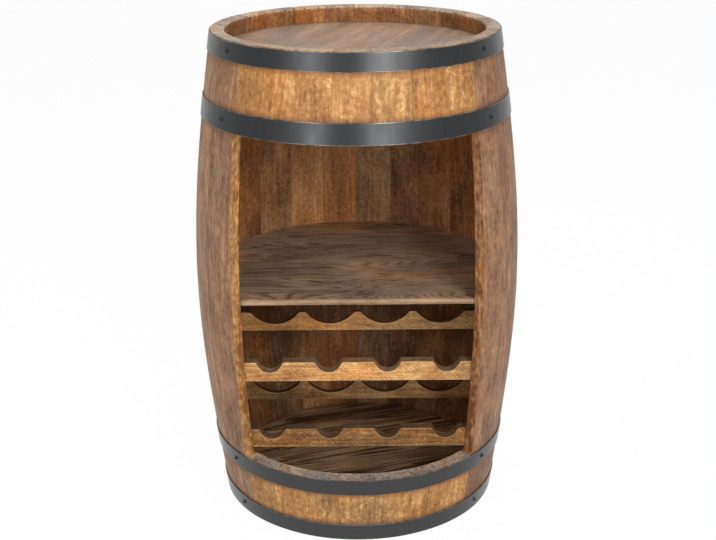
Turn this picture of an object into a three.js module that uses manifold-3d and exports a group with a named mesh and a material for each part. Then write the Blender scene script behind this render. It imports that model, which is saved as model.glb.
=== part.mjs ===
// Barrel bar cabinet: a coopered barrel with an open front, a shelf and two tiers of bottle rails.
// Millimetres, +Z up, origin at the middle of the foot, the open front faces -Y.
import * as THREE from 'three';
import { mergeVertices } from 'three/addons/utils/BufferGeometryUtils.js';
import Module from 'manifold-3d';

const wasm = await Module();
wasm.setup();

// Barrel body
const height = 800;
const bellyDiameter = 540;
const chimeDiameter = 463;
const staveThickness = 23;
const chimeChamfer = 2.5;
const bendShare = 0.7;

// Staves round the barrel, counted from the left jamb of the opening
const openingHalfAngle = THREE.MathUtils.degToRad(48);
const cutStaveShares = [0.97, 0.97, 0.96, 1.03, 1.02, 1.02, 1.03];
const fullStaveShares = [
  1.06, 0.97, 1.02, 0.98, 0.96, 1.03, 0.99, 0.97, 1.04,
  0.97, 1.02, 1.08, 0.98, 1.01, 0.96, 1.0, 0.96, 1.01,
];

// Opening in the front, between the lower and the upper band of short staves
const lowerBandHeight = 117.5;
const upperBandHeight = 135.5;
const jambTurn = THREE.MathUtils.degToRad(27);
const jambBellyAzimuth = THREE.MathUtils.degToRad(46.7);
const openingBottom = lowerBandHeight;
const openingTop = height - upperBandHeight;

// Steel hoops
const hoopThickness = 1.5;
const rimReveal = 1.5;
const cutReveal = 0.5;
const topHoopWidth = 29;
const upperHoopWidth = 33;
const lowerHoopWidth = 28;
const bottomHoopWidth = 29;
const lapAzimuth = THREE.MathUtils.degToRad(150);
const lapLength = 46;
const rivetRadius = 4;
const rivetHeight = 1.8;
const rivetSpacing = 22;

// Hoop screws
const screwHeadRadius = 3.2;
const screwHeadHeight = 1.8;
const screwShankRadius = 1.8;
const screwShankLength = 16;
const screwHoleSides = 8;

// Heads, the two round ends that sit in a groove of the staves
const headThickness = 20;
const topRecess = 28;
const floorHeight = 34;
const tongueThickness = 9;
const crozeDepth = 5;

// Shelf and its cleats
const shelfHeight = 392;
const shelfThickness = 9.5;
const shelfInset = 3;
const shelfCornerRadius = 6;
const cleatDepth = 35;
const cleatHeight = 15;
const cleatLength = 120;
const sideCleatAzimuth = THREE.MathUtils.degToRad(66);

// Bottle rails
const bottlePitch = 95.5;
const bottleCount = 4;
const frontRailHeight = 33;
const frontRailThickness = 20;
const neckRadius = 20.5;
const neckDepth = 17.5;
const neckMouth = 44.5;
const rearRailHeight = 34;
const rearRailThickness = 12;
const rearRailFace = 8;
const bellyChord = 83.4;
const bellyDepth = 21.5;
const upperFrontRailBottom = 248.7;
const lowerFrontRailBottom = 123;
const upperRearRailBottom = 269.5;
const lowerRearRailBottom = 138.5;

// Fits
const seatGap = 0.3;
const staveGap = 0.3;
const overrun = 10;
const pointTolerance = 0.002;

// Fineness of the round surfaces
const staveSteps = 3;
const staveStations = 12;
const ringSegments = 72;
const dotSegments = 8;

// Outside of the staves: round at the belly and nearly straight towards the chimes
function outerRadius(z) {
  const reach = Math.abs((2 * z) / height - 1);
  const bend = (Math.hypot(1, reach / bendShare) - 1) / (Math.hypot(1, 1 / bendShare) - 1);
  return bellyDiameter / 2 - ((bellyDiameter - chimeDiameter) / 2) * bend;
}

function innerRadius(z) {
  return outerRadius(z) - staveThickness;
}

// The stave faces are flat between their steps and stations, so what stands inside keeps clear of the flats
const widestStep = (2 * (Math.PI - openingHalfAngle) * Math.max(...fullStaveShares))
  / fullStaveShares.reduce((sum, share) => sum + share) / staveSteps;

function wallRadius(z) {
  const pitch = height / staveStations;
  const below = Math.floor(z / pitch) * pitch;
  const share = (z - below) / pitch;
  return innerRadius(below) * (1 - share) + innerRadius(below + pitch) * share;
}

function clearRadius(z) {
  return wallRadius(z) * Math.cos(widestStep / 2) - seatGap;
}

// Direction away from the barrel's axis, with azimuth 0 at the front and growing towards +X
function outward(azimuth) {
  return new THREE.Vector3(Math.sin(azimuth), -Math.cos(azimuth), 0);
}

function solidOf(geometry) {
  const plain = geometry.clone();
  plain.deleteAttribute('normal');
  plain.deleteAttribute('uv');
  const merged = mergeVertices(plain, pointTolerance);
  const corners = merged.index.array;
  const kept = [];
  for (let i = 0; i < corners.length; i += 3) {
    const [a, b, c] = corners.slice(i, i + 3);
    if (a !== b && b !== c && c !== a) kept.push(a, b, c);
  }
  return new wasm.Manifold(new wasm.Mesh({
    numProp: 3,
    vertProperties: new Float32Array(merged.attributes.position.array),
    triVerts: new Uint32Array(kept),
  }));
}

function geometryOf(solid) {
  const mesh = solid.getMesh();
  const geometry = new THREE.BufferGeometry();
  geometry.setAttribute('position', new THREE.Float32BufferAttribute(mesh.vertProperties, 3));
  geometry.setIndex(Array.from(mesh.triVerts));
  geometry.computeVertexNormals();
  return geometry;
}

// A closed outline of (radius, height) points, turned from one azimuth to another and capped
function sectorGeometry(outline, from, to, steps) {
  const count = outline.length;
  const points = [];
  const faces = [];
  for (let k = 0; k <= steps; k += 1) {
    const side = outward(from + ((to - from) * k) / steps);
    for (const p of outline) points.push(side.x * p.x, side.y * p.x, p.y);
  }
  for (let k = 0; k < steps; k += 1) {
    for (let i = 0; i < count; i += 1) {
      const j = (i + 1) % count;
      const near = k * count;
      const far = near + count;
      faces.push(near + i, far + i, far + j, near + i, far + j, near + j);
    }
  }
  const last = steps * count;
  for (const [a, b, c] of THREE.ShapeUtils.triangulateShape(outline, [])) {
    faces.push(a, b, c, last + a, last + c, last + b);
  }
  const geometry = new THREE.BufferGeometry();
  geometry.setAttribute('position', new THREE.Float32BufferAttribute(points, 3));
  geometry.setAttribute('normal', new THREE.Float32BufferAttribute(new Array(points.length).fill(0), 3));
  geometry.setAttribute('uv', new THREE.Float32BufferAttribute(new Array((points.length / 3) * 2).fill(0), 2));
  geometry.setIndex(faces);
  return geometry;
}

// An outline turned all the way round the barrel's axis
function turned(outline, segments = ringSegments) {
  const geometry = new THREE.LatheGeometry(outline, segments);
  geometry.rotateX(Math.PI / 2);
  return solidOf(geometry);
}

// Heights at which a wall of the barrel bends, between two ends
function stationsBetween(low, high) {
  const inside = [];
  for (let i = 1; i < staveStations; i += 1) {
    const z = (height * i) / staveStations;
    if (z > low + chimeChamfer && z < high - chimeChamfer) inside.push(z);
  }
  return [low, ...inside, high];
}

// The two grooves that hold the heads
const topHeadTop = height - topRecess;
const grooves = [topHeadTop - headThickness / 2, floorHeight - headThickness / 2].map((middle) => ({
  low: middle - tongueThickness / 2 - seatGap,
  high: middle + tongueThickness / 2 + seatGap,
}));

function staveOutline(low, high) {
  const outside = stationsBetween(low, high).map((z) => new THREE.Vector2(outerRadius(z), z));
  const inside = [];
  const bottom = low === 0 ? chimeChamfer : low;
  const top = high === height ? height - chimeChamfer : high;
  if (top < high) inside.push(new THREE.Vector2(innerRadius(high) + chimeChamfer, high));
  for (const z of stationsBetween(bottom, top).reverse()) {
    const groove = grooves.find((g) => z > g.low && z < g.high);
    if (!groove) inside.push(new THREE.Vector2(innerRadius(z), z));
  }
  if (bottom > low) inside.push(new THREE.Vector2(innerRadius(low) + chimeChamfer, low));
  for (const groove of grooves) {
    if (groove.low < low || groove.high > high) continue;
    const above = inside.findIndex((p) => p.y < groove.low);
    inside.splice(
      above,
      0,
      new THREE.Vector2(innerRadius(groove.high), groove.high),
      new THREE.Vector2(innerRadius(groove.high) + crozeDepth, groove.high),
      new THREE.Vector2(innerRadius(groove.low) + crozeDepth, groove.low),
      new THREE.Vector2(innerRadius(groove.low), groove.low),
    );
  }
  return [...outside, ...inside];
}

// Each stave's two azimuths, from a span that the shares divide
function staveSpans(from, to, shares) {
  const total = shares.reduce((sum, share) => sum + share);
  const spans = [];
  let azimuth = from;
  for (const share of shares) {
    const next = azimuth + ((to - from) * share) / total;
    spans.push({ from: azimuth, to: next });
    azimuth = next;
  }
  return spans;
}

const halfGapAngle = staveGap / chimeDiameter;
const cutSpans = staveSpans(-openingHalfAngle, openingHalfAngle, cutStaveShares);
const fullSpans = staveSpans(openingHalfAngle, 2 * Math.PI - openingHalfAngle, fullStaveShares);

function staveSolid(span, low, high, steps = staveSteps) {
  const outline = staveOutline(low, high);
  return solidOf(sectorGeometry(outline, span.from + halfGapAngle, span.to - halfGapAngle, steps));
}

// The jambs are sawn along upright planes, so where a jamb lies depends on how far out the wall is
const jambReach = (bellyDiameter / 2) * Math.sin(jambBellyAzimuth - jambTurn);
const roomNear = chimeDiameter / 2 - staveThickness - overrun;
const roomFar = bellyDiameter / 2 + overrun;

function jambAzimuth(radius) {
  return jambTurn + Math.asin(jambReach / radius);
}

// The front of the barrel wall between two mirrored sides, whose azimuth a rule gives at each radius
function frontRoom(azimuthAt, low, high) {
  const near = outward(azimuthAt(roomNear)).multiplyScalar(roomNear);
  const far = outward(azimuthAt(roomFar)).multiplyScalar(roomFar);
  const shape = new THREE.Shape([
    new THREE.Vector2(-far.x, far.y),
    new THREE.Vector2(far.x, far.y),
    new THREE.Vector2(near.x, near.y),
    new THREE.Vector2(-near.x, near.y),
  ]);
  const geometry = new THREE.ExtrudeGeometry(shape, { depth: high - low, bevelEnabled: false });
  geometry.translate(0, 0, low);
  return solidOf(geometry);
}

// The first and last full staves reach forward to the jambs, and to the short staves above and below
function jambStaveSolid(span) {
  const start = jambAzimuth(roomFar);
  const onTheRight = span.from < Math.PI;
  const wide = onTheRight ? { from: start, to: span.to } : { from: span.from, to: 2 * Math.PI - start };
  const jointAzimuth = () => openingHalfAngle + halfGapAngle;
  return staveSolid(wide, 0, height, staveSteps + 1)
    .subtract(frontRoom(jambAzimuth, openingBottom, openingTop))
    .subtract(frontRoom(jointAzimuth, -overrun, openingBottom + overrun))
    .subtract(frontRoom(jointAzimuth, openingTop - overrun, height + overrun));
}

// Hoops: each is a slightly conical band with its ends lapped and riveted
const hoopBands = {
  top: { low: height - rimReveal - topHoopWidth, high: height - rimReveal },
  upper: { low: openingTop, high: openingTop + upperHoopWidth },
  lower: { low: openingBottom - cutReveal - lowerHoopWidth, high: openingBottom - cutReveal },
  bottom: { low: rimReveal, high: rimReveal + bottomHoopWidth },
};

function bandOutline(band, inside, outside) {
  return [
    new THREE.Vector2(outerRadius(band.low) + outside, band.low),
    new THREE.Vector2(outerRadius(band.high) + outside, band.high),
    new THREE.Vector2(outerRadius(band.high) + inside, band.high),
    new THREE.Vector2(outerRadius(band.low) + inside, band.low),
  ];
}

function bandMiddle(band) {
  return (band.low + band.high) / 2;
}

// A small round piece whose axis stands square on a band, with its foot on the band's outside
function placedOnBand(geometry, band, azimuth, lift) {
  const rise = band.high - band.low;
  const run = outerRadius(band.high) - outerRadius(band.low);
  const normal = outward(azimuth).multiplyScalar(rise).setZ(-run).normalize();
  const bandRadius = (outerRadius(band.low) + outerRadius(band.high)) / 2;
  const foot = outward(azimuth).multiplyScalar(bandRadius + seatGap + hoopThickness + lift);
  foot.setZ(bandMiddle(band));
  const turn = new THREE.Quaternion().setFromUnitVectors(new THREE.Vector3(0, 0, 1), normal);
  return geometry.clone().applyQuaternion(turn).translate(foot.x, foot.y, foot.z);
}

// A domed head, with a foot that reaches below it
function domeOutline(radius, rise, sunk) {
  const shoulderShare = 0.45;
  const crownShare = 0.6;
  return [
    new THREE.Vector2(0, -sunk),
    new THREE.Vector2(radius, -sunk),
    new THREE.Vector2(radius, rise * shoulderShare),
    new THREE.Vector2(radius * crownShare, rise),
    new THREE.Vector2(0, rise),
  ];
}

function upright(outline, segments) {
  const geometry = new THREE.LatheGeometry(outline, segments);
  geometry.rotateX(Math.PI / 2);
  return geometry;
}

function hoopSolid(band) {
  const section = bandOutline(band, seatGap, seatGap + hoopThickness);
  const ring = new THREE.LatheGeometry([...section, section[0]], ringSegments);
  ring.rotateX(Math.PI / 2);
  let hoop = solidOf(ring);
  const half = lapLength / 2 / outerRadius(bandMiddle(band));
  const lapOutline = bandOutline(band, seatGap + hoopThickness / 2, seatGap + 2 * hoopThickness);
  hoop = hoop.add(solidOf(sectorGeometry(lapOutline, lapAzimuth - half, lapAzimuth + half, staveSteps)));
  const rivet = upright(domeOutline(rivetRadius, rivetHeight, hoopThickness), dotSegments);
  const spread = rivetSpacing / 2 / outerRadius(bandMiddle(band));
  for (const side of [-spread, spread]) {
    hoop = hoop.add(solidOf(placedOnBand(rivet, band, lapAzimuth + side, hoopThickness)));
  }
  return hoop;
}

// Screws hold each hoop to the first and last full staves and to one at the back
const screwStaves = {
  left: fullSpans.length - 1,
  back: fullSpans.length / 2 - 1,
  right: 0,
};

function staveMiddle(index) {
  return (fullSpans[index].from + fullSpans[index].to) / 2;
}

function screwSolid(band, azimuth) {
  const shankOutline = [
    new THREE.Vector2(0, -screwShankLength),
    new THREE.Vector2(screwShankRadius / 2, -screwShankLength),
    new THREE.Vector2(screwShankRadius, -screwShankLength + screwShankRadius),
    new THREE.Vector2(screwShankRadius, 0),
    ...domeOutline(screwHeadRadius, screwHeadHeight, 0).slice(1),
  ];
  return solidOf(placedOnBand(upright(shankOutline, dotSegments), band, azimuth, seatGap));
}

function screwHole(band, azimuth) {
  const radius = (screwShankRadius + seatGap) / Math.cos(Math.PI / screwHoleSides);
  const holeOutline = [
    new THREE.Vector2(0, -screwShankLength - seatGap),
    new THREE.Vector2(radius, -screwShankLength - seatGap),
    new THREE.Vector2(radius, overrun),
    new THREE.Vector2(0, overrun),
  ];
  return solidOf(placedOnBand(upright(holeOutline, screwHoleSides), band, azimuth, seatGap));
}

// Heads: a disc with a thinner tongue round its edge
function headSolid(low) {
  const high = low + headThickness;
  const middle = (low + high) / 2;
  const tongueLow = middle - tongueThickness / 2;
  const tongueHigh = middle + tongueThickness / 2;
  return turned([
    new THREE.Vector2(0, low),
    new THREE.Vector2(clearRadius(low), low),
    new THREE.Vector2(clearRadius(tongueLow), tongueLow),
    new THREE.Vector2(clearRadius(tongueLow) + crozeDepth, tongueLow),
    new THREE.Vector2(clearRadius(tongueHigh) + crozeDepth, tongueHigh),
    new THREE.Vector2(clearRadius(tongueHigh), tongueHigh),
    new THREE.Vector2(clearRadius(high), high),
    new THREE.Vector2(0, high),
  ]);
}

// The room inside the staves, which the ends of rails and cleats follow
function insideRoom(low, high) {
  const wall = stationsBetween(low, high).map((z) => new THREE.Vector2(clearRadius(z), z));
  return turned([new THREE.Vector2(0, low), ...wall, new THREE.Vector2(0, high)]);
}

// A side outline in (x, z), given a thickness towards +Y from its front face
function board(shape, face, thickness, bottom) {
  const geometry = new THREE.ExtrudeGeometry(shape, {
    depth: thickness,
    bevelEnabled: false,
    curveSegments: dotSegments,
  });
  geometry.rotateX(Math.PI / 2);
  geometry.translate(0, face + thickness, bottom);
  return solidOf(geometry);
}

function bottlePlaces() {
  return Array.from({ length: bottleCount }, (_, i) => (i - (bottleCount - 1) / 2) * bottlePitch);
}

// A neck notch: sloped shoulders that run tangent into a round bottom
function cutNeck(shape, centre, top) {
  const axis = top - neckDepth + neckRadius;
  const across = neckMouth / 2;
  const reach = Math.hypot(across, top - axis);
  const touch = Math.atan2(top - axis, across) - Math.acos(neckRadius / reach);
  shape.lineTo(centre + across, top);
  shape.absarc(centre, axis, neckRadius, touch, -Math.PI - touch, true);
  shape.lineTo(centre - across, top);
}

// A scallop for the bottle's body: one arc
function cutBelly(shape, centre, top) {
  const half = bellyChord / 2;
  const radius = (half * half + bellyDepth * bellyDepth) / (2 * bellyDepth);
  const swing = Math.asin(half / radius);
  const axis = top - bellyDepth + radius;
  shape.absarc(centre, axis, radius, -Math.PI / 2 + swing, -Math.PI / 2 - swing, true);
}

function railSolid(bottom, face, railHeight, thickness, cut) {
  const reach = bellyDiameter / 2;
  const shape = new THREE.Shape();
  shape.moveTo(-reach, 0);
  shape.lineTo(reach, 0);
  shape.lineTo(reach, railHeight);
  for (const centre of bottlePlaces().reverse()) cut(shape, centre, railHeight);
  shape.lineTo(-reach, railHeight);
  shape.closePath();
  const room = insideRoom(bottom - overrun, bottom + railHeight + overrun);
  return board(shape, face, thickness, bottom).intersect(room);
}

// Front rails stand just behind the inner corners of the jambs
function frontRailSolid(bottom) {
  const wall = innerRadius(bottom);
  const face = -wall * Math.cos(jambAzimuth(wall));
  return railSolid(bottom, face, frontRailHeight, frontRailThickness, cutNeck);
}

function rearRailSolid(bottom) {
  return railSolid(bottom, rearRailFace, rearRailHeight, rearRailThickness, cutBelly);
}

// Shelf: a disc inside the staves with a straight front edge and rounded front corners
function shelfSolid() {
  const radius = Math.min(clearRadius(shelfHeight), clearRadius(shelfHeight - shelfThickness));
  const wall = innerRadius(shelfHeight);
  const front = wall * Math.cos(jambAzimuth(wall)) - shelfInset;
  const cornerY = front - shelfCornerRadius;
  const cornerX = Math.sqrt((radius - shelfCornerRadius) ** 2 - cornerY ** 2);
  const cornerTurn = Math.atan2(-cornerY, cornerX);
  const shape = new THREE.Shape();
  shape.moveTo(-cornerX, -front);
  shape.lineTo(cornerX, -front);
  shape.absarc(cornerX, -cornerY, shelfCornerRadius, -Math.PI / 2, cornerTurn, false);
  shape.absarc(0, 0, radius, cornerTurn, Math.PI - cornerTurn, false);
  shape.absarc(-cornerX, -cornerY, shelfCornerRadius, Math.PI - cornerTurn, 3 * Math.PI / 2, false);
  const geometry = new THREE.ExtrudeGeometry(shape, {
    depth: shelfThickness,
    bevelEnabled: false,
    curveSegments: ringSegments / 3,
  });
  geometry.translate(0, 0, shelfHeight - shelfThickness);
  return solidOf(geometry);
}

// A cleat under the shelf, straight inside and cut to the staves outside
function cleatSolid(azimuth) {
  const top = shelfHeight - shelfThickness;
  const wall = innerRadius(top);
  const block = new THREE.BoxGeometry(cleatLength, cleatDepth, cleatHeight);
  block.translate(0, -wall + cleatDepth / 2, top - cleatHeight / 2);
  block.rotateZ(azimuth);
  return solidOf(block).intersect(insideRoom(top - cleatHeight - overrun, top + overrun));
}

// Finishes
const oakOutside = new THREE.MeshStandardMaterial({ color: '#96704e', roughness: 0.6, metalness: 0 });
const oakGolden = new THREE.MeshStandardMaterial({ color: '#c08c55', roughness: 0.55, metalness: 0 });
const oakHead = new THREE.MeshStandardMaterial({ color: '#a58b78', roughness: 0.6, metalness: 0 });
const oakDark = new THREE.MeshStandardMaterial({ color: '#6b5342', roughness: 0.6, metalness: 0 });
const blackSteel = new THREE.MeshStandardMaterial({ color: '#3c3c3d', roughness: 0.4, metalness: 0.9 });
const darkScrew = new THREE.MeshStandardMaterial({ color: '#1d1d1e', roughness: 0.4, metalness: 0.9 });

const cabinet = new THREE.Group();
cabinet.name = 'barrel_bar_cabinet';

function place(name, solid, material) {
  const mesh = new THREE.Mesh(geometryOf(solid), material);
  mesh.name = name;
  cabinet.add(mesh);
}

// Staves
fullSpans.forEach((span, index) => {
  const besideOpening = index === 0 || index === fullSpans.length - 1;
  let solid = besideOpening ? jambStaveSolid(span) : staveSolid(span, 0, height);
  if (Object.values(screwStaves).includes(index)) {
    for (const band of Object.values(hoopBands)) {
      solid = solid.subtract(screwHole(band, staveMiddle(index)));
    }
  }
  place(`stave_full_${String(index + 1).padStart(2, '0')}`, solid, oakOutside);
});
cutSpans.forEach((span, index) => {
  place(`stave_short_upper_${index + 1}`, staveSolid(span, openingTop, height), oakGolden);
  place(`stave_short_lower_${index + 1}`, staveSolid(span, 0, openingBottom), oakGolden);
});

// Hoops and their screws
for (const [level, band] of Object.entries(hoopBands)) {
  let hoop = hoopSolid(band);
  for (const [side, index] of Object.entries(screwStaves)) {
    hoop = hoop.subtract(screwHole(band, staveMiddle(index)));
    place(`screw_${level}_${side}`, screwSolid(band, staveMiddle(index)), darkScrew);
  }
  place(`hoop_${level}`, hoop, blackSteel);
}

// Heads
place('head_top', headSolid(topHeadTop - headThickness), oakHead);
place('head_bottom', headSolid(floorHeight - headThickness), oakDark);

// Shelf and cleats
place('shelf', shelfSolid(), oakDark);
place('shelf_cleat_right', cleatSolid(sideCleatAzimuth), oakDark);
place('shelf_cleat_left', cleatSolid(-sideCleatAzimuth), oakDark);
place('shelf_cleat_back', cleatSolid(Math.PI), oakDark);

// Bottle rails
place('rail_front_upper', frontRailSolid(upperFrontRailBottom), oakGolden);
place('rail_front_lower', frontRailSolid(lowerFrontRailBottom), oakGolden);
place('rail_rear_upper', rearRailSolid(upperRearRailBottom), oakGolden);
place('rail_rear_lower', rearRailSolid(lowerRearRailBottom), oakGolden);

// The open front leaves the outline deeper behind the axis, so the axis moves forward of the origin
const outline = new THREE.Box3().setFromObject(cabinet);
cabinet.position.y = -(outline.min.y + outline.max.y) / 2;

export default cabinet;
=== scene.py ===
# Barrel bar cabinet: the look of every piece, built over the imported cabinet.
# Metres, +Z up, the open front faces -Y. Azimuth 0 is the front and grows towards +X.
import math

import bmesh
import bpy
from mathutils import Matrix, Vector


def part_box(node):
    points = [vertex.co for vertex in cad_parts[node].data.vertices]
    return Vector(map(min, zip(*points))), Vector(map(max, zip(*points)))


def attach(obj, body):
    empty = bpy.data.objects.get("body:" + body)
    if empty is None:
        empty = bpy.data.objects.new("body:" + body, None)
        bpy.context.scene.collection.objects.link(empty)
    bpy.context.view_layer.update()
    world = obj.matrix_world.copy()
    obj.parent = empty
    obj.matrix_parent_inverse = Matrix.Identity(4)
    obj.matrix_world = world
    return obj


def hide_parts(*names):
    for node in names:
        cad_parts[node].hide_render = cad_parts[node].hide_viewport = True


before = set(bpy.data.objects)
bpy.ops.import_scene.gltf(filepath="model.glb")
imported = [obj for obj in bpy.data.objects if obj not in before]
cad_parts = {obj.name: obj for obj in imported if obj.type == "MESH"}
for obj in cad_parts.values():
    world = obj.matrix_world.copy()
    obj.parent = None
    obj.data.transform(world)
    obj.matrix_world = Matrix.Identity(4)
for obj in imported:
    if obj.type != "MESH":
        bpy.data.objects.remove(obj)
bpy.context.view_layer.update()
scene = bpy.context.scene
scene.view_settings.view_transform = "Standard"

hoopLow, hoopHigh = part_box("hoop_upper")
axisY = (hoopLow.y + hoopHigh.y) / 2  # the barrel's axis stands a little forward of the origin

barrel = {
    "Height": 0.8,
    "Belly Radius": 0.27,
    "Chime Radius": 0.2315,
    "Bend Share": 0.7,
    "Thickness": 0.023,
    "Axis Y": axisY,
}
openingHalfAngle = math.radians(48)
openingLow = 0.1175
openingHigh = 0.6645
jambTurn = math.radians(27)  # the jambs are sawn along upright planes, turned this far
seatGap = 0.0003


def outerRadius(z):
    reach = abs(2 * z / barrel["Height"] - 1)
    share = barrel["Bend Share"]
    bend = (math.hypot(1, reach / share) - 1) / (math.hypot(1, 1 / share) - 1)
    return barrel["Belly Radius"] - (barrel["Belly Radius"] - barrel["Chime Radius"]) * bend


def innerRadius(z):
    return outerRadius(z) - barrel["Thickness"]


class Wire:
    # One output of a node tree. Sums on it add Math nodes, and node() adds any other node.
    def __init__(self, tree, socket=None):
        self.tree = tree
        self.socket = socket

    def node(self, kind, settings=None, values=None, out=0):
        made = self.tree.nodes.new(kind)
        for name, value in (settings or {}).items():
            if name == "stops":
                for stop, (place, colour) in zip(self.stopsOf(made, len(value)), value):
                    stop.position = place
                    stop.color = (*colour, 1)
            else:
                setattr(made, name, value)
        for name, value in (values or {}).items():
            if isinstance(value, Wire):
                self.tree.links.new(value.socket, made.inputs[name])
            else:
                made.inputs[name].default_value = value
        return Wire(self.tree, made.outputs[out] if len(made.outputs) else None)

    def stopsOf(self, ramp, count):
        stops = ramp.color_ramp.elements
        while len(stops) < count:
            stops.new(0.5)
        return stops

    def sum(self, operation, first, second=0.0, third=0.0):
        return self.node("ShaderNodeMath", {"operation": operation}, {0: first, 1: second, 2: third})

    def through(self, operation):
        return self.sum(operation, self)

    def shaped(self, kind, **values):
        # The next step of a mesh
        return self.node(kind, {}, {"Geometry": self, **values})

    def __add__(self, other):
        return self.sum("ADD", self, other)

    __radd__ = __add__

    def __sub__(self, other):
        return self.sum("SUBTRACT", self, other)

    def __rsub__(self, other):
        return self.sum("SUBTRACT", other, self)

    def __mul__(self, other):
        return self.sum("MULTIPLY", self, other)

    __rmul__ = __mul__

    def __truediv__(self, other):
        return self.sum("DIVIDE", self, other)

    def __rtruediv__(self, other):
        return self.sum("DIVIDE", other, self)

    def __pow__(self, other):
        return self.sum("POWER", self, other)

    def __abs__(self):
        return self.through("ABSOLUTE")

    def __gt__(self, other):
        return self.sum("GREATER_THAN", self, other)

    def __lt__(self, other):
        return self.sum("LESS_THAN", self, other)

    def root(self):
        return self.through("SQRT")

    def least(self, other):
        return self.sum("MINIMUM", self, other)

    def most(self, other):
        return self.sum("MAXIMUM", self, other)

    def rise(self, low, high):
        # 0 up to the low value and 1 from the high one on, eased between them
        settings = {"interpolation_type": "SMOOTHSTEP"}
        return self.node("ShaderNodeMapRange", settings, {0: self, 1: low, 2: high})

    def point(self, x, y, z):
        return self.node("ShaderNodeCombineXYZ", {}, {0: x, 1: y, 2: z})

    def parts(self):
        split = self.tree.nodes.new("ShaderNodeSeparateXYZ")
        self.tree.links.new(self.socket, split.inputs[0])
        return [Wire(self.tree, socket) for socket in split.outputs]

    def times(self, factors):
        return self.node("ShaderNodeVectorMath", {"operation": "MULTIPLY"}, {0: self, 1: factors})

    def plus(self, shift):
        return self.node("ShaderNodeVectorMath", {"operation": "ADD"}, {0: self, 1: shift})

    def noise(self, scale, detail=2.0, roughness=0.5, distortion=0.0):
        values = {"Vector": self, "Scale": scale, "Detail": detail}
        values.update({"Roughness": roughness, "Distortion": distortion})
        return self.node("ShaderNodeTexNoise", {}, values)

    def attribute(self, name, out=2):
        return self.node("ShaderNodeAttribute", {"attribute_name": name}, {}, out)

    def mix(self, first, second):
        colours = [c if isinstance(c, Wire) else (*c, 1) for c in (first, second)]
        return self.node("ShaderNodeMix", {"data_type": "RGBA"}, {0: self, 6: colours[0], 7: colours[1]}, 2)


def shapeTree(name, numbers, extras=None, geometryIn=False):
    # A geometry tree with named inputs; returns it with a wire for each input
    tree = bpy.data.node_groups.new(name, "GeometryNodeTree")
    face = tree.interface
    face.new_socket("Geometry", in_out="OUTPUT", socket_type="NodeSocketGeometry")
    if geometryIn:
        face.new_socket("Geometry", in_out="INPUT", socket_type="NodeSocketGeometry")
    for label in numbers:
        face.new_socket(label, in_out="INPUT", socket_type="NodeSocketFloat")
    for label, kind in (extras or {}).items():
        face.new_socket(label, in_out="INPUT", socket_type=kind)
    entry = tree.nodes.new("NodeGroupInput")
    wires = {socket.name: Wire(tree, socket) for socket in entry.outputs if socket.name}
    return tree, wires


def endTree(wire):
    exit = wire.tree.nodes.new("NodeGroupOutput")
    wire.tree.links.new(wire.socket, exit.inputs[0])


def store(body, label, kind, value, domain="POINT"):
    settings = {"data_type": kind, "domain": domain}
    values = {"Geometry": body, "Name": label, "Value": value}
    return body.node("GeometryNodeStoreNamedAttribute", settings, values)


def storeAll(body, grain, **numbers):
    # What the finishes read: the place in the plank, and numbers such as the tone
    body = store(body, "grain", "FLOAT_VECTOR", grain)
    for label, value in numbers.items():
        body = store(body, label, "FLOAT", value)
    return body


def endPainted(body, materials):
    # Ends a tree with a smooth mesh and a material for each kind of face; the attribute "side" numbers them
    body = body.shaped("GeometryNodeSetShadeSmooth").shaped("GeometryNodeRealizeInstances")
    for number, material in enumerate(materials):
        side = body.node("GeometryNodeInputNamedAttribute", {"data_type": "FLOAT"}, {"Name": "side"})
        chosen = abs(side - number) < 0.5
        body = body.shaped("GeometryNodeSetMaterial", Selection=chosen, Material=material)
    endTree(body)


def newObject(name, data):
    made = bpy.data.objects.new(name, data)
    scene.collection.objects.link(made)
    return made


def grow(name, tree, values, start=None, bevel=None):
    # Runs a tree on an empty or a given mesh and keeps the result as a plain mesh
    maker = newObject(name + "Maker", start or bpy.data.meshes.new(name + "Start"))
    shape = maker.modifiers.new("shape", "NODES")
    shape.node_group = tree
    for socket in tree.interface.items_tree:
        if socket.in_out == "INPUT" and socket.name in values:
            shape[socket.identifier] = values[socket.name]
    if bevel:
        roundEdges(maker, bevel)
    graph = bpy.context.evaluated_depsgraph_get()
    mesh = bpy.data.meshes.new_from_object(
        maker.evaluated_get(graph), preserve_all_data_layers=True, depsgraph=graph
    )
    mesh.name = name
    bpy.data.objects.remove(maker)
    return newObject(name, mesh)


def roundEdges(piece, bevel):
    edges = piece.modifiers.new("edges", "BEVEL")
    edges.width = bevel["width"]
    edges.segments = bevel["segments"]
    edges.limit_method = "ANGLE"
    edges.angle_limit = math.radians(bevel["angle"])
    edges.use_clamp_overlap = False
    edges.harden_normals = True


def settle(piece, slot, *nodes):
    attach(piece, "root")
    if nodes:
        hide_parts(*nodes)
    return piece


print("frame loaded")

# Camera
cameraSet = {
    "lens": 65.36,
    "sensor": 36,
    "clipEnd": 60,
    "place": (0, -2.0826 + axisY, 1.1344),
    "pitch": 18.546,
    "roll": -0.5,
    "shift": (0.0014, -0.0409),
}
camera = newObject("camera", bpy.data.cameras.new("camera"))
camera.data.lens = cameraSet["lens"]
camera.data.sensor_width = cameraSet["sensor"]
camera.data.shift_x, camera.data.shift_y = cameraSet["shift"]
camera.data.clip_end = cameraSet["clipEnd"]
tilt = Matrix.Rotation(math.radians(90 - cameraSet["pitch"]), 4, "X")
turn = Matrix.Rotation(math.radians(cameraSet["roll"]), 4, "Z")
camera.matrix_world = Matrix.Translation(cameraSet["place"]) @ tilt @ turn
scene.camera = camera


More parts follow.
